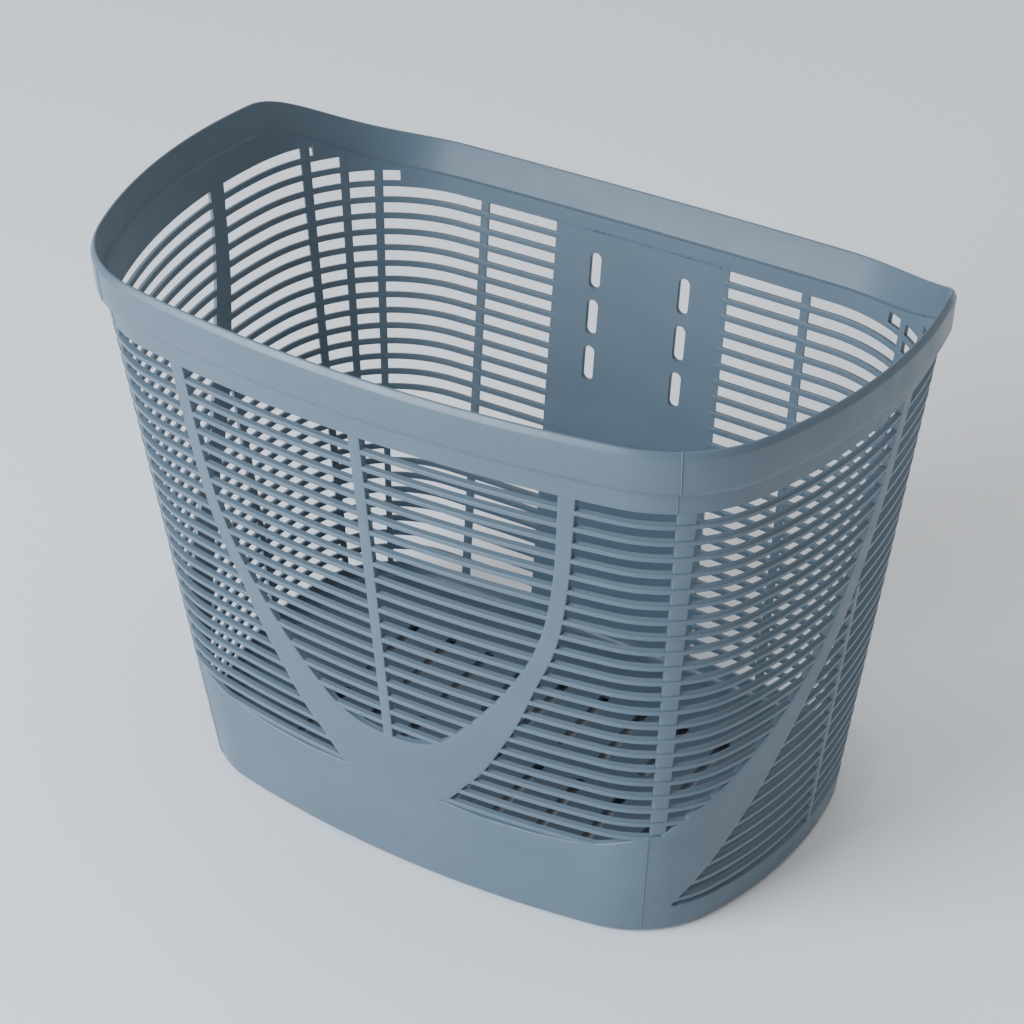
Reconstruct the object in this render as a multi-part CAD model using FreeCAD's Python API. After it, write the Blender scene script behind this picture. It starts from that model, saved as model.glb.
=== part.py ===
import FreeCAD, Part
import math
import os
from FreeCAD import Vector

# Handlebar basket, millimetres. The origin is at the bottom centre, +Z is up,
# the decorated front looks along -Y and the mounting plate is at +Y.
# The real thing is one moulding. It is built here as the named zones of that
# moulding, which meet face to face.

# Overall form
HEIGHT = 270.7          # front and end rim above the base
BACK_DIP = 30.2         # how much lower the rim is across the back
WALL = 2.4              # moulded wall thickness
RIM_OVERHANG = 1.6      # rim band outside the top outline
RIM_WALL = 2.4
RIM_BAND = 22.0         # height of the outer rim band
RIM_LEDGE = 14.9        # depth of the inner ledge below the rim top

# Plan outline: front, front corner, side and back corner arcs, each tangent to
# the next. The long back arc closes it. It is symmetric about X = 0.
ARC_DEGREES = (10.48, 56.57, 32.75, 78.24)
TOP_RADII = (638.0, 60.2, 225.3, 80.8)
BASE_RADII = (517.0, 53.5, 177.0, 50.25)
TOP_FRONT_Y = -120.53   # front centre of the outer face at the top
BASE_FRONT_Y = -95.83   # and at the base: the walls lean outwards

# The S-shaped dip of the rim, seen from the side
DIP_START_Y = 50.6
DIP_END_Y = 125.6

# Lattice: level rows of long windows with slats between them
FIRST_ROW_Z = 239.2
ROW_PITCH = 8.18
WINDOW_HEIGHT = 4.9
FRONT_ROWS = 20
CORNER_ROWS = 23
END_ROWS = 28
TOP_STRIP = 1.5         # solid strip kept under the rim band

# Stations round the wall: the length along the outline at half height, from
# the front centre
RIB = 3.4
CENTRE_RIB = 5.0
CORNER_RIB = 132.5
CORNER_RIB_WIDTH = 7.0
REAR_RIB = 238.2
RIB_A = 298.0
RIB_B = 314.5
RIB_C = 329.0
RIB_D = 379.5
PLATE_EDGE = 419.0
SEAM = 0.01             # a piece that ends this near an arc's start stays off that arc

# Edges of the U-shaped band on the front, and of the curved end strut,
# as (station, height)
U_INNER = ((84, 250), (83, 200), (78, 160), (71.7, 142), (60, 122), (47, 106), (31, 88),
           (16, 80.5), (0, 79))
U_OUTER = ((91, 250), (88, 190), (82.5, 158), (76, 140), (69, 122), (62, 102), (53, 83),
           (40, 65), (24, 50))
STRUT_FRONT = ((244, 250), (241, 215), (237, 188), (228, 162), (217, 138), (203, 120),
               (187, 102), (170, 88), (150, 74), (132.5, 62))
STRUT_BACK = ((254, 250), (252, 222), (247, 195), (242, 175), (235, 152), (227, 135),
              (217, 118), (207, 102), (193, 78), (178, 58), (163, 40), (141, 15))
SKIRT_TOP = ((24, 50), (60, 49), (95, 51), (106, 53.5), (128, 60), (132.5, 62))
FRONT_SKIRT = 50.0      # height of the skirt below the U-shaped band
CORNER_SKIRT = 62.0     # and at the corner rib
END_SKIRT = 15.5
U_REACH = 95.0          # stations just past the U-shaped band and the end strut
STRUT_REACH = 260.0
FOOT_STATIONS = (136.0, 145.0)      # the strut's foot lies between these

# Mounting plate slots, for bolts or straps of the handlebar bracket
SLOT_X = 23.4
SLOT_Z = (199.5, 176.0, 152.5)
SLOT_WIDTH = 5.4
SLOT_LENGTH = 17.6

# Floor panel with drain slots, raised so that the basket stands on the skirt
FLOOR_RISE = 6.0
FLOOR = 2.5
DRAIN_WIDTH = 5.0
DRAIN_LENGTH = 44.0
DRAIN_PITCH = 22.0
DRAIN_COLUMNS = 4       # to each side of the middle one
DRAIN_ROWS_Y = (-34.0, 26.0)


def outline(z):
    """Arcs (centre x, centre y, radius, start, end) of the outer face at z."""
    k = z / HEIGHT
    x = 0.0
    y = BASE_FRONT_Y + k * (TOP_FRONT_Y - BASE_FRONT_Y)
    heading = 0.0
    arcs = []
    for base, top, degrees in zip(BASE_RADII, TOP_RADII, ARC_DEGREES):
        radius = base + k * (top - base)
        end = heading + math.radians(degrees)
        cx = x - radius * math.sin(heading)
        cy = y + radius * math.cos(heading)
        arcs.append((cx, cy, radius, heading, end))
        x = cx + radius * math.sin(end)
        y = cy - radius * math.cos(end)
        heading = end
    radius = x / math.sin(heading)
    arcs.append((0.0, y + radius * math.cos(heading), radius, heading, math.pi))
    return arcs


MIDDLE = outline(HEIGHT / 2)
STARTS = [0.0]
for arc in MIDDLE:
    STARTS.append(STARTS[-1] + arc[2] * (arc[4] - arc[3]))
FRONT_CORNER, SIDE, BACK_CORNER, BACK, BACK_CENTRE = STARTS[1:]


def locate(u):
    """Arc number and angle of the station u."""
    number = max(i for i in range(5) if i == 0 or u >= STARTS[i])
    arc = MIDDLE[number]
    return number, arc[3] + (u - STARTS[number]) / arc[2]


def point(arc, angle, offset, z):
    """Point on an arc, offset outwards."""
    cx, cy, radius = arc[:3]
    return Vector(cx + (radius + offset) * math.sin(angle),
                  cy - (radius + offset) * math.cos(angle), z)


def face_point(u, z):
    """Point on the outer face of the wall."""
    number, angle = locate(u)
    return point(outline(z)[number], angle, 0.0, z)


def arc_edge(arc, a, b, offset, z):
    ends = [point(arc, t, offset, z) for t in (a, 0.5 * (a + b), b)]
    return Part.Arc(*ends).toShape()


def ring_wire(u1, u2, level, z, outer, inner):
    """Closed wire at height z round a piece of wall, on the outline of a level."""
    arcs = outline(level)
    first, start = locate(u1)
    last = locate(u2 - SEAM)[0]
    stop = MIDDLE[last][3] + (u2 - STARTS[last]) / MIDDLE[last][2]
    spans = []
    for number in range(first, last + 1):
        a = start if number == first else MIDDLE[number][3]
        b = stop if number == last else MIDDLE[number][4]
        spans.append((arcs[number], a, b))
    edges = [arc_edge(arc, a, b, outer, z) for arc, a, b in spans]
    edges.append(Part.makeLine(point(spans[-1][0], stop, outer, z),
                               point(spans[-1][0], stop, -inner, z)))
    edges += [arc_edge(arc, b, a, -inner, z) for arc, a, b in reversed(spans)]
    edges.append(Part.makeLine(point(spans[0][0], start, -inner, z),
                               point(spans[0][0], start, outer, z)))
    return Part.Wire(edges)


def wall(u1, u2, z1, z2, outer=0.0, inner=WALL):
    """Leaning piece of wall between two stations and two heights."""
    wires = [ring_wire(u1, u2, z, z, outer, inner) for z in (z1, z2)]
    return Part.makeLoft(wires, True, True)


def upright(u1, u2, z1, z2, outer, inner):
    """Upright band on the top outline."""
    wires = [ring_wire(u1, u2, HEIGHT, z, outer, inner) for z in (z1, z2)]
    return Part.makeLoft(wires, True, True)


def mirrored(shape):
    return shape.mirror(Vector(0, 0, 0), Vector(1, 0, 0))


def closed_wire(level, z, offset):
    """The whole outline of a level as a wire at height z."""
    arcs = outline(level)
    front, back = arcs[0], arcs[-1]
    right = [arc_edge(arc, arc[3], arc[4], offset, z) for arc in arcs[1:4]]
    left = [mirrored(edge) for edge in right]
    ends = [arc_edge(front, -front[4], front[4], offset, z),
            arc_edge(back, back[3], 2 * math.pi - back[3], offset, z)]
    return Part.Wire(Part.__sortEdges__(right + left + ends))


def core(z1, z2, offset):
    """Everything inside the leaning wall, offset outwards."""
    return Part.makeLoft([closed_wire(z, z, offset) for z in (z1, z2)], True, True)


def rim_core(z1, z2, offset):
    """Everything inside the upright rim band."""
    return Part.makeLoft([closed_wire(HEIGHT, z, offset) for z in (z1, z2)], True, True)


def above(drop):
    """Everything above the rim's side view, lowered by drop."""
    high = HEIGHT - drop
    low = high - BACK_DIP
    third = (DIP_END_Y - DIP_START_Y) / 3
    poles = [(DIP_START_Y, high), (DIP_START_Y + third, high),
             (DIP_END_Y - third, low), (DIP_END_Y, low)]
    curve = Part.BezierCurve()
    curve.setPoles([Vector(-300, y, z) for y, z in poles])
    corners = [(DIP_END_Y, low), (300, low), (300, 400), (-300, 400), (-300, high),
               (DIP_START_Y, high)]
    points = [Vector(-300, y, z) for y, z in corners]
    edges = [curve.toShape()]
    edges += [Part.makeLine(a, b) for a, b in zip(points, points[1:])]
    return Part.Face(Part.Wire(edges)).extrude(Vector(600, 0, 0))


def seen_from_front(stations, extra):
    """Front-to-back prism under a smooth edge; extra corners (x, z) close it."""
    spline = Part.BSplineCurve()
    points = [face_point(u, z) for u, z in stations]
    points = [Vector(p.x, -300, p.z) for p in points]
    spline.interpolate(points)
    corners = [points[-1]] + [Vector(x, -300, z) for x, z in extra] + [points[0]]
    edges = [spline.toShape()]
    edges += [Part.makeLine(a, b) for a, b in zip(corners, corners[1:])]
    return Part.Face(Part.Wire(edges)).extrude(Vector(0, 300, 0))


def seen_from_side(stations, extra):
    """Side-to-side prism behind a smooth edge; extra corners (y, z) close it."""
    spline = Part.BSplineCurve()
    points = [face_point(u, z) for u, z in stations]
    points = [Vector(0, p.y, p.z) for p in points]
    spline.interpolate(points)
    corners = [points[-1]] + [Vector(0, y, z) for y, z in extra] + [points[0]]
    edges = [spline.toShape()]
    edges += [Part.makeLine(a, b) for a, b in zip(corners, corners[1:])]
    return Part.Face(Part.Wire(edges)).extrude(Vector(300, 0, 0))


def windows(u1, u2, count):
    """Cutters for the level rows of windows between two stations."""
    cutters = []
    for row in range(count):
        z = FIRST_ROW_Z - row * ROW_PITCH
        low, high = z - WINDOW_HEIGHT / 2, z + WINDOW_HEIGHT / 2
        cutters.append(wall(u1, u2, low, high, 3.0, WALL + 3.0))
    return Part.makeCompound(cutters)


RIM_BOTTOM = above(RIM_BAND)
WINDOW_LIMIT = above(RIM_BAND + TOP_STRIP)
STRUT_AREA = seen_from_side(STRUT_FRONT, ((-300, CORNER_SKIRT), (-300, 250)))
REAR_AREA = seen_from_side(STRUT_BACK, ((300, 15), (300, 250)))
inner_right = seen_from_front(U_INNER, ((0, 250),))
outer_right = seen_from_front(U_OUTER, ((0, FRONT_SKIRT), (0, 250)))
U_INSIDE = inner_right.fuse(mirrored(inner_right))
U_OUTSIDE = outer_right.fuse(mirrored(outer_right))
SKIRT_AREA = seen_from_front(SKIRT_TOP, ((300, CORNER_SKIRT), (300, -5), (0, -5),
                                         (0, FRONT_SKIRT)))

NODES = {}


def add(name, shape):
    """Keep a zone on the middle of the basket."""
    solids = shape.removeSplitter().Solids
    NODES[name] = max(solids, key=lambda solid: solid.Volume)


def add_pair(name, shape):
    """Keep a zone and its mirror image."""
    add(name + "_right", shape)
    NODES[name + "_left"] = mirrored(NODES[name + "_right"])


def build_front():
    area = wall(-U_REACH, U_REACH, FRONT_SKIRT, HEIGHT).cut(RIM_BOTTOM)
    add("front_u_band", area.common(U_OUTSIDE).cut(U_INSIDE))
    holes = windows(CENTRE_RIB / 2, U_REACH, FRONT_ROWS)
    ladder = area.common(U_INSIDE)
    add("front_ladder", ladder.cut(holes).cut(mirrored(holes)))
    start = SKIRT_TOP[0][0]
    area = wall(start, CORNER_RIB, END_SKIRT, HEIGHT).cut(RIM_BOTTOM)
    area = area.cut(U_OUTSIDE).cut(SKIRT_AREA)
    holes = windows(start, CORNER_RIB - CORNER_RIB_WIDTH / 2, CORNER_ROWS).cut(SKIRT_AREA)
    add_pair("corner_ladder", area.cut(holes))


def build_ends():
    area = wall(CORNER_RIB, STRUT_REACH, END_SKIRT, HEIGHT).cut(RIM_BOTTOM)
    foot = wall(CORNER_RIB, FOOT_STATIONS[1], 0, CORNER_SKIRT, 5, 8)
    front = area.common(STRUT_AREA).cut(foot)
    holes = windows(CORNER_RIB + CORNER_RIB_WIDTH / 2, STRUT_REACH, CORNER_ROWS)
    add_pair("end_front_ladder", front.cut(holes))
    add_pair("end_strut", area.cut(STRUT_AREA).cut(REAR_AREA))
    edge = RIB_A + RIB / 2
    start = FOOT_STATIONS[0]
    area = wall(start, edge, END_SKIRT, HEIGHT).cut(RIM_BOTTOM).common(REAR_AREA)
    holes = Part.makeCompound([windows(start, REAR_RIB - RIB / 2, END_ROWS),
                               windows(REAR_RIB + RIB / 2, RIB_A - RIB / 2, END_ROWS)])
    add_pair("end_rear_ladder", area.cut(holes.cut(WINDOW_LIMIT)))


def build_back():
    start, stop = RIB_A + RIB / 2, RIB_C + RIB / 2
    area = wall(start, stop, END_SKIRT, HEIGHT).cut(RIM_BOTTOM)
    holes = Part.makeCompound([windows(start, RIB_B - RIB / 2, END_ROWS),
                               windows(RIB_B + RIB / 2, RIB_C - RIB / 2, END_ROWS)])
    add_pair("back_corner_ladder", area.cut(holes.cut(WINDOW_LIMIT)))
    area = wall(stop, PLATE_EDGE, END_SKIRT, HEIGHT).cut(RIM_BOTTOM)
    holes = Part.makeCompound([windows(stop, RIB_D - RIB / 2, END_ROWS),
                               windows(RIB_D + RIB / 2, PLATE_EDGE, END_ROWS)])
    add_pair("back_ladder", area.cut(holes.cut(WINDOW_LIMIT)))


def slot(x, z):
    """Slot with round ends through the mounting plate, cut straight along Y."""
    radius = SLOT_WIDTH / 2
    reach = SLOT_LENGTH / 2 - radius
    low = Part.makeCylinder(radius, 60, Vector(x, 70, z - reach), Vector(0, 1, 0))
    high = Part.makeCylinder(radius, 60, Vector(x, 70, z + reach), Vector(0, 1, 0))
    middle = Part.makeBox(SLOT_WIDTH, 60, 2 * reach, Vector(x - radius, 70, z - reach))
    return low.fuse([high, middle]).removeSplitter()


def build_plate():
    far = 2 * BACK_CENTRE - PLATE_EDGE
    plate = wall(PLATE_EDGE, far, END_SKIRT, HEIGHT).cut(RIM_BOTTOM)
    for z in SLOT_Z:
        plate = plate.cut(slot(SLOT_X, z)).cut(slot(-SLOT_X, z))
    add("mounting_plate", plate)


def build_skirt():
    area = wall(-FRONT_CORNER, FRONT_CORNER, 0, CORNER_SKIRT)
    both = SKIRT_AREA.fuse(mirrored(SKIRT_AREA))
    add("skirt_front", area.common(both))
    area = wall(FRONT_CORNER, CORNER_RIB, 0, CORNER_SKIRT).common(SKIRT_AREA)
    corner = area.fuse(wall(CORNER_RIB, SIDE, 0, END_SKIRT))
    add_pair("skirt_corner", corner)
    add_pair("skirt_end", wall(SIDE, BACK_CORNER, 0, END_SKIRT))
    add_pair("skirt_back_corner", wall(BACK_CORNER, BACK, 0, END_SKIRT))
    far = 2 * BACK_CENTRE - BACK
    add("skirt_back", wall(BACK, far, 0, END_SKIRT))


def build_rim():
    hollow = rim_core(100, 300, RIM_OVERHANG - RIM_WALL).common(above(RIM_LEDGE))
    inside = core(100, HEIGHT, -WALL)
    top = above(0.0)

    def section(u1, u2):
        band = upright(u1, u2, 190, 280, RIM_OVERHANG, 12.0)
        return band.cut(top).common(RIM_BOTTOM).cut(hollow).cut(inside)

    add("rim_front", section(-FRONT_CORNER, FRONT_CORNER))
    add_pair("rim_corner", section(FRONT_CORNER, SIDE))
    add_pair("rim_end", section(SIDE, BACK_CORNER))
    add_pair("rim_back_corner", section(BACK_CORNER, BACK))
    add("rim_back", section(BACK, 2 * BACK_CENTRE - BACK))


def build_floor():
    panel = core(FLOOR_RISE, FLOOR_RISE + FLOOR, -WALL)
    for column in range(-DRAIN_COLUMNS, DRAIN_COLUMNS + 1):
        for y in DRAIN_ROWS_Y:
            corner = Vector(column * DRAIN_PITCH - DRAIN_WIDTH / 2, y - DRAIN_LENGTH / 2, 0)
            panel = panel.cut(Part.makeBox(DRAIN_WIDTH, DRAIN_LENGTH, 20, corner))
    add("floor", panel)


build_front()
build_ends()
build_back()
build_plate()
build_skirt()
build_rim()
build_floor()

os.makedirs("parts", exist_ok=True)
for name, shape in NODES.items():
    shape.exportStep("parts/" + name + ".step")
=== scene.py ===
import math

import bmesh
import bpy
import numpy as np
from mathutils import Matrix, Vector


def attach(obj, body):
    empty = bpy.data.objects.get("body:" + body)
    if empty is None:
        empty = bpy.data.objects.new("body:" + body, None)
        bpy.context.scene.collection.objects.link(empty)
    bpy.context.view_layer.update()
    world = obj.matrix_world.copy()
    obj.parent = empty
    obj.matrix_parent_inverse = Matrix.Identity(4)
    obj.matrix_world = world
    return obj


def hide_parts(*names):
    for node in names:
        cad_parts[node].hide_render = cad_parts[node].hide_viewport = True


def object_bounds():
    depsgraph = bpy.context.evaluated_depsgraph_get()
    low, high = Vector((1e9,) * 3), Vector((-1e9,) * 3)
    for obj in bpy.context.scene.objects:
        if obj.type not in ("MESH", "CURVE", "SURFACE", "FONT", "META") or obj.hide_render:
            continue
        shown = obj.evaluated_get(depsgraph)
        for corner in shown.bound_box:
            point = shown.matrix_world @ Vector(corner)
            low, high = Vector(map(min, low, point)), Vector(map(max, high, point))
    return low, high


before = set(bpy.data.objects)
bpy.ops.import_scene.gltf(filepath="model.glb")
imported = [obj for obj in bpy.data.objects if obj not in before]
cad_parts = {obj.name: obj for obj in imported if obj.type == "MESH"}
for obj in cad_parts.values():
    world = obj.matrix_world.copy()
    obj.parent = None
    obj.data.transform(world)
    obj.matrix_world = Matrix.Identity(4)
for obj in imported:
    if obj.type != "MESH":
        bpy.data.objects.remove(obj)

bl_info = {
    "name": "Handlebar Basket",
    "version": (1, 0, 0),
    "blender": (4, 5, 0),
    "location": "3D View > Sidebar > Basket",
    "description": "A moulded plastic bicycle basket with slatted walls, on its CAD frame",
    "category": "Object",
}

# Lengths are in millimetres until a mesh is written.
MM = 0.001
CAD_BOX = [list(corner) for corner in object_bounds()]
HEIGHT = CAD_BOX[1][2] / MM

# Plan outline of the outer wall, front to back: front, front corner, side and
# back corner arcs, each tangent to the next, and a long back arc that closes it.
TURNS = np.radians((10.48, 56.57, 32.75, 78.24))
HEADINGS = np.concatenate(([0.0], np.cumsum(TURNS)))
TOP_RADII = np.array((638.0, 60.2, 225.3, 80.8))
BASE_RADII = np.array((517.0, 53.5, 177.0, 50.25))
TOP_FRONT_Y = -120.53
BASE_FRONT_Y = -95.83

# The rim's S-shaped dip towards the back
DIP = 30.2
DIP_START_Y = 50.6
DIP_END_Y = 125.6
DIP_STATIONS = (240.0, 400.0)       # the rim dips between these, so it is drawn finely
RIM_SKIN = 17.0         # solid height kept below the rim's top, above any window

# Level rows of slats: height of the outer top edge of the first slat, and pitch.
# The rows climb a little from the front to the back.
FRONT_EDGE, FRONT_PITCH = 234.5, 8.24
BACK_EDGE, BACK_PITCH = 237.0, 8.13
CLIMB_START, CLIMB_END = 140.0, 290.0
SLAT_HEIGHT = 2.1
SLAT_RISE = 0.75        # a slat's top face slopes: its inner edge is this much higher
SLAT_RECESS = 0.05      # slats lie this far inside the faces of the ribs
CORNER_RECESS = 0.5     # except at the corner ribs, which they cross

# Stations round the wall: length along the outline at half height, from the
# front centre
CENTRE_RIB, CENTRE_RIB_WIDTH = 0.0, 5.0
CORNER_RIB, CORNER_RIB_WIDTH = 132.5, 7.0
REAR_RIB = 238.2
RIB_A, RIB_B, RIB_C, RIB_D = 298.0, 314.5, 329.0, 379.5
THIN_RIB = 3.4
PLATE_EDGE = 419.0
PARTING = 128.3

# Edges of the U-shaped band and of the curved end struts, as pairs of
# (station, height) across the band
U_BAND = (
    ((84, 248), (91, 248)), ((83, 205), (89.3, 203)), ((80.2, 178), (86.6, 174)),
    ((76.3, 160), (82.7, 155)), ((69.6, 142.5), (75.8, 136)), ((58.6, 123), (67.2, 112)),
    ((46.6, 106), (58.4, 93.5)), ((38, 96), (50, 78)), ((29, 87), (40, 65)),
    ((16, 80.7), (26, 50.5)), ((0, 79), (0, 48)),
)
STRUT = (
    ((245, 248), (253, 248)), ((243.3, 225), (250.5, 222)), ((239, 202), (247.5, 199)),
    ((233, 180), (242.5, 176)), ((226.5, 160), (236.5, 154)), ((217.5, 140), (227.5, 133.5)),
    ((205, 121), (214.5, 113)), ((190, 105), (201, 92)), ((172, 89.5), (186, 68.5)),
    ((155, 77.5), (170, 48.5)), ((143, 69), (155, 31.5)), ((133, 61), (141, 16)),
    ((128, 56), (134, 8)),
)
# Top edge of the skirt, and how free it is: 0 where another face carries on
SKIRT_TOP = ((0, 53), (23, 53), (25, 50.5), (50, 48.7), (75, 49.5), (95, 51), (106, 53.5),
             (118, 57.5), (128, 61), (133, 62), (137, 46), (141, 17.5), (143, 15.4), (470, 15.4))
SKIRT_FREE = ((0, 0), (24.5, 0), (27, 1), (126, 1), (129, 0), (143, 0), (146, 1), (470, 1))
FOOT_RADIUS = 3.5
FLOOR_RISE, FLOOR = 6.0, 2.5

# Slots of the mounting plate and drain slots of the floor
SLOT_STATION = 23.4
SLOT_HEIGHTS = (199.5, 176.0, 152.5)
SLOT_WIDTH, SLOT_LENGTH = 5.4, 17.6
DRAIN_WIDTH, DRAIN_LENGTH, DRAIN_PITCH = 5.0, 44.0, 22.0
DRAIN_COLUMNS = range(-4, 5)
DRAIN_ROWS_Y = (-34.0, 26.0)

# Number of slats in each kind of ladder
FRONT_SLATS, CORNER_SLATS, END_SLATS = 20, 23, 27

# Ends of the straight ribs, each a little inside the piece that holds it
FRONT_RIB_TOP = FRONT_EDGE + 10.0
CENTRE_RIB_FOOT = 74.0
CORNER_RIB_FOOT = 55.0
END_RIB_FOOT = 13.0
REAR_RIB_TOP = 152.0
PLATE_TOP = 219.8
RIM_OVERLAP = 2.5
SLAT_OVERLAP = 2.0

FLARE = 0.5             # ribs and bands are this much wider inside, on each side
END_LIMIT = 250.0       # in front of this station no slat reaches the rim's dip

# How finely things are drawn: steps along the wall, and points along a curve
SLAT_STEP, RING_STEP, DIP_STEP, FLOOR_STEP = 3.4, 3.0, 0.4, 5.0
EDGE_POINTS, U_POINTS, STRUT_POINTS = 120, 130, 90
DIP_POINTS = 600

# Edges that turn by more than these angles are drawn sharp
PIECE_SHARP = math.radians(38)
CUT_SHARP = math.radians(30)


# ---------------------------------------------------------------- the form

def outline(level):
    """Five arcs of the outer face at some heights, as centre x, centre y and radius.

    Each radius goes evenly from its base value to its top value, and each
    centre follows from the arc before, since neighbours share a tangent."""
    k = np.asarray(level, float) / HEIGHT
    x = np.zeros_like(k)
    y = BASE_FRONT_Y + k * (TOP_FRONT_Y - BASE_FRONT_Y)
    arcs = []
    for base, top, start, stop in zip(BASE_RADII, TOP_RADII, HEADINGS[:-1], HEADINGS[1:]):
        radius = base + k * (top - base)
        cx = x - radius * math.sin(start)
        cy = y + radius * math.cos(start)
        x = cx + radius * math.sin(stop)
        y = cy - radius * math.cos(stop)
        arcs.append((cx, cy, radius))
    radius = x / math.sin(HEADINGS[-1])
    arcs.append((np.zeros_like(k), y + radius * math.cos(HEADINGS[-1]), radius))
    return [np.stack(values) for values in zip(*arcs)]


MIDDLE_RADII = outline(HEIGHT / 2)[2]
SPANS = np.diff(np.append(HEADINGS, math.pi)) * MIDDLE_RADII
STARTS = np.concatenate(([0.0], np.cumsum(SPANS)[:-1]))
HALF_ROUND = SPANS.sum()


def place(u, level, z, out):
    """Points at station u on the outline of a level, offset outwards, at height z.

    A point is its arc's centre plus (radius + out) along the heading's normal.
    Negative stations are the mirror image, and stations wrap at the back."""
    u, level, z, out = np.broadcast_arrays(*(np.asarray(v, float) for v in (u, level, z, out)))
    u = (u + HALF_ROUND) % (2 * HALF_ROUND) - HALF_ROUND
    along = np.abs(u)
    number = np.clip(np.searchsorted(STARTS, along, side="right") - 1, 0, 4)
    angle = HEADINGS[number] + (along - STARTS[number]) / MIDDLE_RADII[number]
    cx, cy, radius = (np.take_along_axis(a, number[None], 0)[0] for a in outline(level))
    side = np.where(u < 0, -1.0, 1.0)
    x = side * (cx + (radius + out) * np.sin(angle))
    return np.stack([x, cy - (radius + out) * np.cos(angle), z], -1)


def on_wall(u, z, out):
    """Points on the leaning wall."""
    return place(u, z, z, out)


def ease(t):
    """Smooth step from 0 to 1: 3 t squared less 2 t cubed."""
    t = np.clip(t, 0.0, 1.0)
    return t * t * (3 - 2 * t)


def rim_top(u):
    """Height of the rim: level, then an S-shaped dip as y goes to the back."""
    y = place(u, HEIGHT, HEIGHT, 0.0)[..., 1]
    return HEIGHT - DIP * ease((y - DIP_START_Y) / (DIP_END_Y - DIP_START_Y))


def slat_edge(u, row):
    """Height of a slat's outer top edge at station u."""
    climb = ease((np.abs(u) - CLIMB_START) / (CLIMB_END - CLIMB_START))
    front = FRONT_EDGE - FRONT_PITCH * row
    back = BACK_EDGE - BACK_PITCH * row
    return front + climb * (back - front)



def rim_low(u):
    """Lower edge of the plain zone: the top of the first window that is whole there.

    It follows the rows, and drops by whole rows where the rim dips, so the
    windows end square."""
    first = slat_edge(u, -1) - SLAT_HEIGHT
    pitch = slat_edge(u, -1) - slat_edge(u, 0)
    rows = np.ceil((first - rim_top(u) + RIM_SKIN) / pitch - 0.02)
    return first - pitch * np.maximum(rows, 0)


def smooth_curve(points, count):
    """Catmull-Rom curve through the points, as count points on it."""
    p = np.asarray(points, float)
    p = np.concatenate([2 * p[:1] - p[1:2], p, 2 * p[-1:] - p[-2:-1]])
    t = np.linspace(0, len(p) - 3, count)
    i = np.minimum(t.astype(int), len(p) - 4)
    f = (t - i).reshape((-1,) + (1,) * (p.ndim - 1))
    a, b, c, d = (p[i + n] for n in range(4))
    return 0.5 * (2 * b + (c - a) * f + (2 * a - 5 * b + 4 * c - d) * f ** 2
                  + (3 * b - a - 3 * c + d) * f ** 3)


def rounded(corners, radii, steps=3):
    """Closed profile with its corners rounded off.

    The rounding starts r / tan(half the corner's angle) away on each side. It is
    a quadratic curve between the two starts, pulled towards the corner."""
    p = np.asarray(corners, float)
    before = np.roll(p, 1, 0) - p
    after = np.roll(p, -1, 0) - p
    before /= np.linalg.norm(before, axis=1)[:, None]
    after /= np.linalg.norm(after, axis=1)[:, None]
    half = 0.5 * np.arccos(np.clip((before * after).sum(1), -1, 1))
    reach = (np.asarray(radii, float) / np.tan(half))[:, None, None]
    t = np.linspace(0, 1, steps + 1)[None, :, None]
    start, stop = before[:, None] * reach, after[:, None] * reach
    arcs = p[:, None] + start * (1 - t) ** 2 + stop * t ** 2
    return arcs.reshape(-1, 2)


class Shells:
    """Closed shells gathered for one mesh."""

    def __init__(self):
        self.points, self.quads, self.caps, self.count = [], [], [], 0

    def sweep(self, grid, ring=False):
        """Skin a grid whose rows are closed profiles, with caps unless it is a ring."""
        rows, columns = grid.shape[:2]
        index = self.count + np.arange(rows * columns).reshape(rows, columns)
        here, ahead = (index, np.roll(index, -1, 0)) if ring else (index[:-1], index[1:])
        quads = [here, np.roll(here, -1, 1), np.roll(ahead, -1, 1), ahead]
        self.quads.append(np.stack(quads, -1).reshape(-1, 4))
        if not ring:
            self.caps += [index[0].tolist(), index[-1][::-1].tolist()]
        self.points.append(grid.reshape(-1, 3))
        self.count += rows * columns

    def solid(self, name):
        """Write the shells into a linked object, with their faces turned outwards."""
        mesh = bpy.data.meshes.new(name)
        faces = np.concatenate(self.quads).tolist() + self.caps
        mesh.from_pydata((np.concatenate(self.points) * MM).tolist(), [], faces)
        form = bmesh.new()
        form.from_mesh(mesh)
        bmesh.ops.recalc_face_normals(form, faces=form.faces)
        form.to_mesh(mesh)
        form.free()
        solid = bpy.data.objects.new(name, mesh)
        bpy.context.collection.objects.link(solid)
        return solid

    def piece(self, name, nodes):
        """Write the shells into a piece that rides on the basket and stands for nodes."""
        piece = self.solid(name)
        mesh = piece.data
        mesh.polygons.foreach_set("use_smooth", np.ones(len(mesh.polygons), bool))
        mesh.set_sharp_from_angle(angle=PIECE_SHARP)
        mesh.materials.append(moulded_polypropylene())
        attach(piece, "root")
        if nodes:
            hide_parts(*nodes)
        return piece


def both(name):
    """The left and the right node of a mirrored pair."""
    return (name + "_left", name + "_right")


def stations(u1, u2, step=SLAT_STEP):
    """Evenly spaced stations from u1 to u2, no further apart than the step."""
    count = max(2, int(math.ceil(abs(u2 - u1) / step)) + 1)
    return np.linspace(u1, u2, count)


# ------------------------------------------------------------- the mouldings

def wall_depth():
    """Thickness of the wall in millimetres."""
    return bpy.context.scene.basket_form.wall / MM


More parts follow.
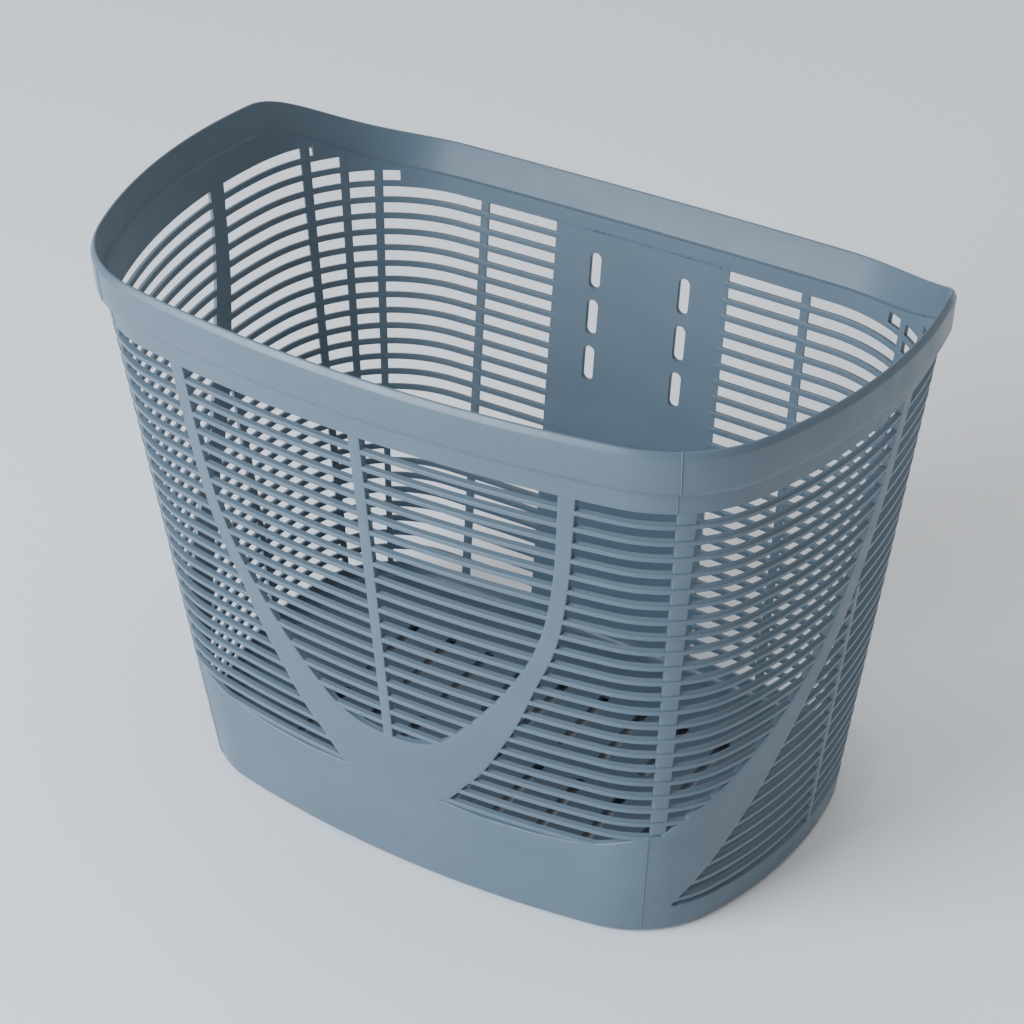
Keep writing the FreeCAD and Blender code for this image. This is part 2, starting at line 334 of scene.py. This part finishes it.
def add_slat(shells, row, left, right):
    """One slat: a rounded wedge profile carried along the wall at its row's height.

    left and right give the station where it ends at a height, so that the end
    follows a slanting band. The top face slopes down and outwards."""
    depth = wall_depth()
    profile = rounded(((0, 0), (-depth, SLAT_RISE), (-depth, -SLAT_HEIGHT - 0.15),
                       (0, -SLAT_HEIGHT)), (0.45, 0.25, 0.25, 0.35))
    out, rise = profile[:, 0] - SLAT_RECESS, profile[:, 1]
    # The slat's height depends on its station, and its ends on its height: a few
    # rounds settle both
    start, stop = left(slat_edge(left(200.0), row)), right(slat_edge(right(200.0), row))
    ends = []
    for guess, edge in ((start, left), (stop, right)):
        u = np.full(len(rise), float(guess))
        for _ in range(4):
            u = edge(slat_edge(u, row) + rise)
        ends.append(u)
    if (ends[1] - ends[0]).max() < SLAT_OVERLAP:
        return
    count = len(stations(start, stop))
    t = np.linspace(0, 1, count)[:, None]
    u = ends[0] + t * (ends[1] - ends[0])
    z = slat_edge(u, row) + rise
    shells.sweep(on_wall(u, z, out))


def add_rib(shells, u, width, z1, z2, recess=0.0):
    """Straight rib at one station: a flat face with rounded edges and drafted sides.

    A recessed rib lies behind the rounded fronts of the slats, which cross it."""
    depth = wall_depth()
    side = width / 2
    profile = rounded(((-side, 0), (side, 0), (side + FLARE, -depth), (-side - FLARE, -depth)),
                      (0.4, 0.4, 0.25, 0.25))
    z = np.array((z1, z2), float)[:, None]
    out = np.where(profile[:, 1] > -depth / 2, profile[:, 1] - recess, profile[:, 1])
    shells.sweep(on_wall(u + profile[:, 0], z, out))


def add_band(shells, pairs, count):
    """Curved band between two edges: points across it go evenly from one edge to the
    other, on the outer face and back on the inner face, with rounded edges."""
    depth = wall_depth()
    edges = smooth_curve(pairs, count)
    first, second = edges[:, 0], edges[:, 1]
    width = np.linalg.norm(second - first, axis=1)[:, None]
    lip, across = 0.4, 10
    middle = np.linspace(0, 1, across)[None, 1:-1]
    zero = np.zeros_like(width)
    face = [zero, zero + 0.12, zero + lip, middle * width, width - lip, width - 0.12, width]
    back = [width + FLARE, middle[:, ::-1] * width, zero - FLARE]
    reach = np.concatenate(face + back, 1) / width
    out = np.concatenate([(-lip, -0.12, 0), np.zeros(across - 2), (0, -0.12, -lip),
                          (-depth,), np.full(across - 2, -depth), (-depth,)])
    place_uz = first[:, None] + reach[..., None] * (second - first)[:, None]
    shells.sweep(on_wall(place_uz[..., 0], place_uz[..., 1], out))


def edge_of(pairs, which, overlap):
    """Station of a band's edge as a function of height, moved a little into the band."""
    curve = smooth_curve(pairs, EDGE_POINTS)[:, which]
    curve = curve[np.argsort(curve[:, 1], kind="stable")]

    def station(z):
        return np.interp(z, curve[:, 1], curve[:, 0]) + overlap
    return station


def level_station(value):
    """Edge that keeps to one station at every height."""
    return lambda z: np.zeros_like(np.asarray(z, float)) + value


def rim_station(u1, u2):
    """Station where the plain zone's lower edge has come down to a height, from u1
    towards u2. The slat goes on a little, into the rim."""
    u = np.linspace(u1, u2, DIP_POINTS)
    low = np.minimum.accumulate(rim_low(u) - 0.3)

    def station(z):
        return np.interp(-np.asarray(z, float), -low, u) + 1.5
    return station


# ------------------------------------------------------------------- finish

def linear(code):
    """sRGB hex colour as linear RGB."""
    parts = [int(code[i:i + 2], 16) / 255 for i in (1, 3, 5)]
    return [c / 12.92 if c <= 0.04045 else ((c + 0.055) / 1.055) ** 2.4 for c in parts]


def add_node(tree, kind, settings=None, inputs=None):
    """Add a node, set its options, and set or link its inputs."""
    node = tree.nodes.new(kind)
    for key, value in (settings or {}).items():
        setattr(node, key, value)
    for key, value in (inputs or {}).items():
        if isinstance(value, bpy.types.NodeSocket):
            tree.links.new(value, node.inputs[key])
        else:
            node.inputs[key].default_value = value
    return node


def moulded_polypropylene():
    """Injection-moulded polypropylene, coloured through: an even satin face with a
    very fine mould grain, faint flow clouds in the colour and slightly uneven gloss."""
    name = "moulded_polypropylene"
    if name in bpy.data.materials:
        return bpy.data.materials[name]
    finish = bpy.context.scene.basket_finish
    material = bpy.data.materials.new(name)
    material.use_nodes = True
    tree = material.node_tree
    tree.nodes.clear()
    where = add_node(tree, "ShaderNodeTexCoord").outputs["Object"]
    # Flow clouds are about 60 mm across, and run along the wall
    stretched = add_node(tree, "ShaderNodeMapping", {}, {"Vector": where, "Scale": (1, 1, 2.5)})
    clouds = add_node(tree, "ShaderNodeTexNoise", {},
                      {"Vector": stretched.outputs[0], "Scale": 1 / finish.cloud_size,
                       "Detail": 3.0, "Roughness": 0.55})
    colour = add_node(tree, "ShaderNodeMix", {"data_type": "RGBA"},
                      {"Factor": clouds.outputs["Fac"], "A": (*finish.dark, 1),
                       "B": (*finish.light, 1)})
    # Handling dulls the gloss in patches a few millimetres wide
    patches = add_node(tree, "ShaderNodeTexNoise", {},
                       {"Vector": where, "Scale": 1 / finish.patch_size, "Detail": 4.0})
    gloss = add_node(tree, "ShaderNodeMapRange", {},
                     {"Value": patches.outputs["Fac"], "From Min": 0.3, "From Max": 0.7,
                      "To Min": finish.roughness - 0.05, "To Max": finish.roughness + 0.07})
    # Mould grain is about 0.1 mm on the real face, drawn at 0.5 mm so that it shows
    grain = add_node(tree, "ShaderNodeTexNoise", {},
                     {"Vector": where, "Scale": 1 / finish.grain_size, "Detail": 2.0})
    waves = add_node(tree, "ShaderNodeTexNoise", {},
                     {"Vector": where, "Scale": 1 / finish.wave_size, "Detail": 1.0})
    height = add_node(tree, "ShaderNodeMath", {"operation": "MULTIPLY_ADD"},
                      {0: waves.outputs["Fac"], 1: 6.0, 2: grain.outputs["Fac"]})
    bump = add_node(tree, "ShaderNodeBump", {},
                    {"Height": height.outputs[0], "Strength": 0.12, "Distance": 0.00012})
    shader = add_node(tree, "ShaderNodeBsdfPrincipled", {},
                      {"Base Color": colour.outputs["Result"], "Roughness": gloss.outputs[0],
                       "IOR": 1.49, "Normal": bump.outputs[0]})
    add_node(tree, "ShaderNodeOutputMaterial", {}, {"Surface": shader.outputs[0]})
    return material


def matt_board(name, code):
    """Painted studio board: one flat pale colour with a matt face."""
    material = bpy.data.materials.new(name)
    material.use_nodes = True
    tree = material.node_tree
    tree.nodes.clear()
    shader = add_node(tree, "ShaderNodeBsdfPrincipled", {},
                      {"Base Color": (*linear(code), 1), "Roughness": 0.8})
    add_node(tree, "ShaderNodeOutputMaterial", {}, {"Surface": shader.outputs[0]})
    return material


# --------------------------------------------------------------- properties

def length(name, description, default):
    """Length property, in metres."""
    return bpy.props.FloatProperty(name=name, description=description, default=default,
                                   min=0.0, subtype="DISTANCE", unit="LENGTH")


def paint(name, description, code):
    """Colour property whose default is an sRGB hex code."""
    return bpy.props.FloatVectorProperty(name=name, description=description, subtype="COLOR",
                                         default=linear(code), min=0.0, max=1.0)


class BasketForm(bpy.types.PropertyGroup):
    wall: length("Wall", "Thickness of the moulded wall", 0.0024)
    overhang: length("Rim overhang", "How far the rim band stands outside the top outline",
                     0.0016)
    chamfer: length("Lip", "Height of the sloping lip at the rim's top", 0.0030)
    ledge: length("Ledge", "Depth of the inner ledge below the rim", 0.0145)


class BasketFinish(bpy.types.PropertyGroup):
    dark: paint("Darker colour", "Colour of the darker flow clouds", "#4d5c66")
    light: paint("Lighter colour", "Colour of the lighter flow clouds", "#586773")
    roughness: bpy.props.FloatProperty(name="Roughness", description="Middle of the gloss",
                                       default=0.36, min=0.0, max=1.0, subtype="FACTOR")
    cloud_size: length("Cloud size", "Width of the flow clouds", 0.06)
    patch_size: length("Patch size", "Width of the duller patches", 0.012)
    grain_size: length("Grain size", "Spacing of the mould grain", 0.0005)
    wave_size: length("Wave size", "Spacing of the slight sink waves", 0.018)


class BasketStage(bpy.types.PropertyGroup):
    key: bpy.props.FloatProperty(name="Key light", description="Power of the large soft light",
                                 default=104.0, min=0.0, unit="POWER")
    fill: bpy.props.FloatProperty(name="Fill light", description="Power of the overhead light",
                                  default=7.0, min=0.0, unit="POWER")
    sky: bpy.props.FloatProperty(name="Room light", description="Strength of the even light",
                                 default=0.56, min=0.0)
    tint: paint("Light colour", "Colour of both lamps", "#deecfb")
    distance: length("Camera distance", "From the camera to its aim", 1.1138)
    lens: bpy.props.FloatProperty(name="Lens", description="Focal length", default=93.45,
                                  min=10.0, subtype="DISTANCE_CAMERA", unit="CAMERA")


# ---------------------------------------------------------------- operators

class BASKET_OT_rim(bpy.types.Operator):
    """Add the rim band with its lip, outer step and inner ledge"""
    bl_idname = "basket.rim"
    bl_label = "Rim"

    def execute(self, context):
        shells = Shells()
        half = np.union1d(stations(0, HALF_ROUND, RING_STEP), stations(*DIP_STATIONS, DIP_STEP))
        u = np.concatenate([half, -half[-2:0:-1]])
        shells.sweep(rim_section(u), ring=True)
        names = ["rim_front", "rim_back"]
        for name in ("rim_corner", "rim_end", "rim_back_corner"):
            names += both(name)
        shells.piece("rim_band_form", names)
        return {"FINISHED"}


def rim_section(u):
    """Closed profiles of the rim at stations u, carried round the top outline.

    The band's points are offsets from the top outline and drops below the rim's
    top. The wall's points keep to the leaning wall, so the band grows out of it,
    with a fine groove behind its lower edge."""
    form = bpy.context.scene.basket_form
    overhang, lip, ledge = form.overhang / MM, form.chamfer / MM, form.ledge / MM
    depth = form.wall / MM
    top = rim_top(u)[:, None]
    low = rim_low(u)[:, None]
    wall_out = np.array((0.02, 0.02))
    outer_z = np.concatenate([low, np.maximum(top - RIM_SKIN + 0.1, low + 0.02)], 1)
    band = np.array((
        (-1.15, 20.6), (0.15, 18.5), (0.75, 17.7), (0.85, 17.2),
        (overhang - 0.04, lip + 0.5), (overhang, lip), (overhang - 0.12, lip - 0.4),
        (0.35, 0.3), (0.05, 0.05), (-0.45, 0.0), (-0.78, 0.22), (-0.9, 0.7)))
    step = np.array((ledge - 0.5, ledge - 0.1, ledge, ledge + 0.3))
    inner_z = np.concatenate([top - step, low - 0.15], 1)
    outer = on_wall(u[:, None], outer_z, wall_out)
    middle = place(u[:, None], HEIGHT, top - band[:, 1], band[:, 0])
    shelf = np.array((1.8, 1.7, 1.5, 0.0, 0.0)) - depth
    inner = on_wall(u[:, None], inner_z, shelf)
    return np.concatenate([outer, middle, inner], 1)


class BASKET_OT_skirt(bpy.types.Operator):
    """Add the plain skirt, high in front and low at the ends, with its round foot"""
    bl_idname = "basket.skirt"
    bl_label = "Skirt"

    def execute(self, context):
        depth = wall_depth()
        half = np.union1d(stations(0, HALF_ROUND, RING_STEP),
                          [p[0] for p in SKIRT_TOP + SKIRT_FREE if p[0] < HALF_ROUND])
        u = np.concatenate([half, -half[-2:0:-1]])
        top = np.interp(np.abs(u), *zip(*SKIRT_TOP))[:, None]
        free = np.interp(np.abs(u), *zip(*SKIRT_FREE))[:, None]
        turn = np.radians(np.linspace(0, 90, 7))
        ones = np.ones_like(top)
        foot_out = -FOOT_RADIUS * (1 - np.cos(turn))
        foot_z = FOOT_RADIUS * (1 - np.sin(turn))
        out = [-depth * ones, -0.4 * free, -0.12 * free, 0 * free, ones * foot_out,
               ones * (-4.6, -5.4, -7.5, -7.5, -depth - 2.0, -depth - 0.7, -depth)]
        under, over = FLOOR_RISE + 0.05, FLOOR_RISE + FLOOR
        z = [top + SLAT_RISE * free, top + 0.12 * free, top - 0.12 * free, top - 0.4 * free,
             ones * foot_z, ones * (0.0, under, under, over, over, over + 0.7, over + 2.0)]
        shells = Shells()
        out, z = np.concatenate(out, 1) + 0.02, np.concatenate(z, 1)
        shells.sweep(on_wall(u[:, None], z, out), ring=True)
        names = ["skirt_front", "skirt_back"]
        for name in ("skirt_corner", "skirt_end", "skirt_back_corner"):
            names += both(name)
        shells.piece("skirt_form", names)
        return {"FINISHED"}


class BASKET_OT_bands(bpy.types.Operator):
    """Add the U-shaped band on the front and the curved strut on each end"""
    bl_idname = "basket.bands"
    bl_label = "Curved bands"

    def execute(self, context):
        mirrored = [[(-u, z) for u, z in pair] for pair in U_BAND[:-1]]
        shells = Shells()
        add_band(shells, mirrored + [list(pair) for pair in reversed(U_BAND)], U_POINTS)
        shells.piece("u_band_form", ["front_u_band"])
        for side, node in zip((-1, 1), both("end_strut")):
            shells = Shells()
            add_band(shells, [[(side * u, z) for u, z in pair] for pair in STRUT],
                     STRUT_POINTS)
            shells.piece(node + "_form", [node])
        return {"FINISHED"}


class BASKET_OT_front(bpy.types.Operator):
    """Add the ladder of slats inside the U, with its centre rib"""
    bl_idname = "basket.front"
    bl_label = "Front ladder"

    def execute(self, context):
        shells = Shells()
        edge = edge_of(U_BAND, 0, SLAT_OVERLAP)
        for row in range(FRONT_SLATS):
            add_slat(shells, row, lambda z: -edge(z), edge)
        add_rib(shells, CENTRE_RIB, CENTRE_RIB_WIDTH, CENTRE_RIB_FOOT, FRONT_RIB_TOP)
        shells.piece("front_ladder_form", ["front_ladder"])
        return {"FINISHED"}


def mirror_slats(shells, side, row, left, right):
    """Slat between two edges of the right half, or its mirror image."""
    if side > 0:
        add_slat(shells, row, left, right)
    else:
        add_slat(shells, row, lambda z: -right(z), lambda z: -left(z))


class BASKET_OT_corners(bpy.types.Operator):
    """Add the ladders between the U-shaped band and the corner ribs"""
    bl_idname = "basket.corners"
    bl_label = "Corner ladders"

    def execute(self, context):
        edge = edge_of(U_BAND, 1, -SLAT_OVERLAP)
        for side, node in zip((-1, 1), both("corner_ladder")):
            shells = Shells()
            for row in range(CORNER_SLATS):
                mirror_slats(shells, side, row, edge, level_station(CORNER_RIB))
            add_rib(shells, side * CORNER_RIB, CORNER_RIB_WIDTH, CORNER_RIB_FOOT,
                    FRONT_RIB_TOP, CORNER_RECESS)
            shells.piece(node + "_form", [node])
        return {"FINISHED"}


class BASKET_OT_ends(bpy.types.Operator):
    """Add the ladders of the ends, in front of and behind each curved strut"""
    bl_idname = "basket.ends"
    bl_label = "End ladders"

    def execute(self, context):
        front = edge_of(STRUT, 0, SLAT_OVERLAP)
        back = edge_of(STRUT, 1, -SLAT_OVERLAP)
        for side in (-1, 1):
            word = "_right" if side > 0 else "_left"
            shells = Shells()
            for row in range(CORNER_SLATS - 1):
                mirror_slats(shells, side, row, level_station(CORNER_RIB), front)
            shells.piece("end_front_ladder" + word + "_form", ["end_front_ladder" + word])
            shells = Shells()
            limit = rim_station(END_LIMIT, RIB_A + 4)
            for row in range(END_SLATS):
                def stop(z, limit=limit):
                    return np.minimum(limit(z), RIB_A)
                mirror_slats(shells, side, row, back, stop)
            add_rib(shells, side * REAR_RIB, THIN_RIB, END_RIB_FOOT, REAR_RIB_TOP)
            add_rib(shells, side * RIB_A, THIN_RIB, END_RIB_FOOT, rim_low(RIB_A) + RIM_OVERLAP)
            shells.piece("end_rear_ladder" + word + "_form", ["end_rear_ladder" + word])
        return {"FINISHED"}


class BASKET_OT_back(bpy.types.Operator):
    """Add the ladders of the back corners and of the back, with their ribs"""
    bl_idname = "basket.back"
    bl_label = "Back ladders"

    def execute(self, context):
        for side in (-1, 1):
            word = "_right" if side > 0 else "_left"
            shells = Shells()
            limit = rim_station(RIB_A, RIB_C)
            for row in range(END_SLATS):
                mirror_slats(shells, side, row, level_station(RIB_A), limit)
            for u in (RIB_B, RIB_C):
                add_rib(shells, side * u, THIN_RIB - 0.4, END_RIB_FOOT,
                        rim_low(u) + RIM_OVERLAP)
            shells.piece("back_corner_ladder" + word + "_form", ["back_corner_ladder" + word])
            shells = Shells()
            limit = rim_station(RIB_C, PLATE_EDGE)
            for row in range(END_SLATS):
                mirror_slats(shells, side, row, level_station(RIB_C), limit)
            add_rib(shells, side * RIB_D, THIN_RIB, END_RIB_FOOT, rim_low(RIB_D) + RIM_OVERLAP)
            shells.piece("back_ladder" + word + "_form", ["back_ladder" + word])
        return {"FINISHED"}


def carve(piece, cutters):
    """Cut closed shells out of a piece, and leave the cut in its mesh."""
    cutter = cutters.solid(piece.name + "_cutter")
    cut = piece.modifiers.new("slots", "BOOLEAN")
    cut.operation = "DIFFERENCE"
    cut.solver = "EXACT"
    cut.object = cutter
    graph = bpy.context.evaluated_depsgraph_get()
    finished = bpy.data.meshes.new_from_object(piece.evaluated_get(graph))
    piece.modifiers.clear()
    piece.data = finished
    bpy.data.objects.remove(cutter)
    finished.set_sharp_from_angle(angle=CUT_SHARP)


def stadium(width, height, grow, steps=9):
    """Upright slot outline: two half circles joined by straight sides."""
    turn = np.radians(np.linspace(0, 180, steps))
    radius = width / 2 + grow
    reach = (height - width) / 2
    top = np.stack([radius * np.cos(turn), reach + radius * np.sin(turn)], -1)
    return np.concatenate([top, -top])


class BASKET_OT_plate(bpy.types.Operator):
    """Add the mounting plate with its two columns of upright slots"""
    bl_idname = "basket.plate"
    bl_label = "Mounting plate"

    def execute(self, context):
        depth = wall_depth()
        side = HALF_ROUND - PLATE_EDGE
        across = np.linspace(-side, side, 27)
        profile_u = np.concatenate([across, (side + 0.5,), across[::-1], (-side - 0.5,)])
        out = np.concatenate([np.zeros(27), (-depth,), np.full(27, -depth), (-depth,)])
        z = np.array((END_RIB_FOOT, PLATE_TOP))[:, None]
        shells = Shells()
        shells.sweep(on_wall(HALF_ROUND + profile_u, z, out))
        plate = shells.piece("mounting_plate_form", ["mounting_plate"])
        cutters = Shells()
        steps = ((3.0, 1.6), (0.05, 0.3), (-0.25, 0.08), (-0.45, 0.0), (-depth + 0.45, 0.0),
                 (-depth + 0.25, 0.08), (-depth - 0.05, 0.3), (-depth - 3.0, 1.6))
        for u in (-SLOT_STATION, SLOT_STATION):
            for height in SLOT_HEIGHTS:
                rows = []
                for out, grow in steps:
                    ring = stadium(SLOT_WIDTH, SLOT_LENGTH, grow)
                    rows.append(on_wall(HALF_ROUND + u + ring[:, 0], height + ring[:, 1], out))
                cutters.sweep(np.stack(rows))
        carve(plate, cutters)
        return {"FINISHED"}


class BASKET_OT_floor(bpy.types.Operator):
    """Add the floor panel with its drain slots"""
    bl_idname = "basket.floor"
    bl_label = "Floor"

    def execute(self, context):
        u = stations(0, 2 * HALF_ROUND, FLOOR_STEP)[:-1]
        shells = Shells()
        faces = (FLOOR_RISE + 0.15, FLOOR_RISE + FLOOR - 0.1)
        shells.sweep(np.stack([place(u, 0.0, z, -6.6) for z in faces]))
        floor = shells.piece("floor_form", ["floor"])
        cutters = Shells()
        for column in DRAIN_COLUMNS:
            for y in DRAIN_ROWS_Y:
                ring = stadium(DRAIN_WIDTH, DRAIN_LENGTH, 0.0, 7)
                x = column * DRAIN_PITCH + ring[:, 0]
                rows = [np.stack([x, y + ring[:, 1], np.full(len(x), z)], -1)
                        for z in (FLOOR_RISE - 2.0, FLOOR_RISE + FLOOR + 2.0)]
                cutters.sweep(np.stack(rows))
        carve(floor, cutters)
        return {"FINISHED"}


class BASKET_OT_parting(bpy.types.Operator):
    """Add the fine flash lines that the mould's slides leave at the front corners"""
    bl_idname = "basket.parting"
    bl_label = "Parting lines"

    def execute(self, context):
        shells = Shells()
        width, proud, root = 0.45, 0.32, -0.3
        for side in (-1, 1):
            middle = side * PARTING
            columns = []
            for du, out in ((-width, root), (0.0, proud), (width, root)):
                line = rim_section(np.array((middle + du,)))[0, :12]
                normal = on_wall(middle + du, 200.0, 1.0) - on_wall(middle + du, 200.0, 0.0)
                columns.append(line + out * normal)
            shells.sweep(np.stack(columns, 1))
            z = np.array((FOOT_RADIUS + 0.2, 60.6))[:, None]
            du, out = np.array((-width, 0.0, width)), np.array((root, proud, root))
            shells.sweep(on_wall(middle + du, z, out))
        shells.piece("parting_lines", [])
        return {"FINISHED"}


class BASKET_OT_stage(bpy.types.Operator):
    """Add the pale floor, the soft lights and the camera"""
    bl_idname = "basket.stage"
    bl_label = "Stage"

    def execute(self, context):
        stage = context.scene.basket_stage
        mesh = bpy.data.meshes.new("studio_floor")
        wide = 6.0
        mesh.from_pydata([(-wide, -wide, 0), (wide, -wide, 0), (wide, wide, 0),
                          (-wide, wide, 0)], [], [(0, 1, 2, 3)])
        floor = bpy.data.objects.new("studio_floor", mesh)
        context.collection.objects.link(floor)
        mesh.materials.append(matt_board("pale_board", "#f4f5f6"))
        world = bpy.data.worlds.new("soft_room")
        world.use_nodes = True
        back = world.node_tree.nodes["Background"]
        back.inputs["Color"].default_value = (*linear("#ffffff"), 1)
        back.inputs["Strength"].default_value = stage.sky
        context.scene.world = world
        lights = (("key_light", (-1.05, -1.75, 0.95), 1.5, stage.key),
                  ("top_light", (0.1, 0.35, 1.7), 1.4, stage.fill))
        for name, spot, size, power in lights:
            light = bpy.data.lights.new(name, "AREA")
            light.size, light.energy = size, power
            light.color = stage.tint
            lamp = bpy.data.objects.new(name, light)
            lamp.location = spot
            aim = Vector((0, 0, 0.12)) - Vector(spot)
            lamp.rotation_euler = aim.to_track_quat("-Z", "Y").to_euler()
            context.collection.objects.link(lamp)
        add_camera(context, stage)
        return {"FINISHED"}


def add_camera(context, stage):
    """Camera on a sphere round its aim, turned by azimuth, elevation and roll."""
    aim = Vector((31.5, -55.6, 174.6)) * MM
    azimuth, elevation, roll = (math.radians(a) for a in (32.65, 34.59, -0.657))
    back = Vector((math.sin(azimuth) * math.cos(elevation),
                   -math.cos(azimuth) * math.cos(elevation), math.sin(elevation)))
    right = Vector((math.cos(azimuth), math.sin(azimuth), 0))
    up = back.cross(right)
    turned_right = right * math.cos(roll) + up * math.sin(roll)
    turned_up = up * math.cos(roll) - right * math.sin(roll)
    lens = bpy.data.cameras.new("camera")
    lens.sensor_width, lens.lens = 36.0, stage.lens
    lens.shift_x, lens.shift_y = 0.0057, 0.0094
    camera = bpy.data.objects.new("camera", lens)
    turn = Matrix((turned_right, turned_up, back)).transposed().to_4x4()
    camera.matrix_world = Matrix.Translation(aim + back * stage.distance) @ turn
    context.collection.objects.link(camera)
    context.scene.camera = camera


class BASKET_PT_panel(bpy.types.Panel):
    """Sizes and finish of the basket, with a button for each group of pieces"""
    bl_idname = "BASKET_PT_panel"
    bl_label = "Basket"
    bl_space_type = "VIEW_3D"
    bl_region_type = "UI"
    bl_category = "Basket"

    def draw(self, context):
        for name in ("basket_form", "basket_finish", "basket_stage"):
            group = getattr(context.scene, name)
            for key in group.__annotations__:
                self.layout.prop(group, key)
        for operator in OPERATORS:
            self.layout.operator(operator.bl_idname)


OPERATORS = (BASKET_OT_rim, BASKET_OT_skirt, BASKET_OT_bands, BASKET_OT_front,
             BASKET_OT_corners, BASKET_OT_ends, BASKET_OT_back, BASKET_OT_plate,
             BASKET_OT_floor, BASKET_OT_parting, BASKET_OT_stage)
GROUPS = (("basket_form", BasketForm), ("basket_finish", BasketFinish),
          ("basket_stage", BasketStage))


def register():
    for name, group in GROUPS:
        bpy.utils.register_class(group)
        setattr(bpy.types.Scene, name, bpy.props.PointerProperty(type=group))
    for kind in OPERATORS + (BASKET_PT_panel,):
        bpy.utils.register_class(kind)


def unregister():
    for kind in reversed(OPERATORS + (BASKET_PT_panel,)):
        bpy.utils.unregister_class(kind)
    for name, group in reversed(GROUPS):
        delattr(bpy.types.Scene, name)
        bpy.utils.unregister_class(group)


def main():
    register()
    for operator in OPERATORS:
        group, name = operator.bl_idname.split(".")
        getattr(getattr(bpy.ops, group), name)()


if __name__ == "__main__":
    main()
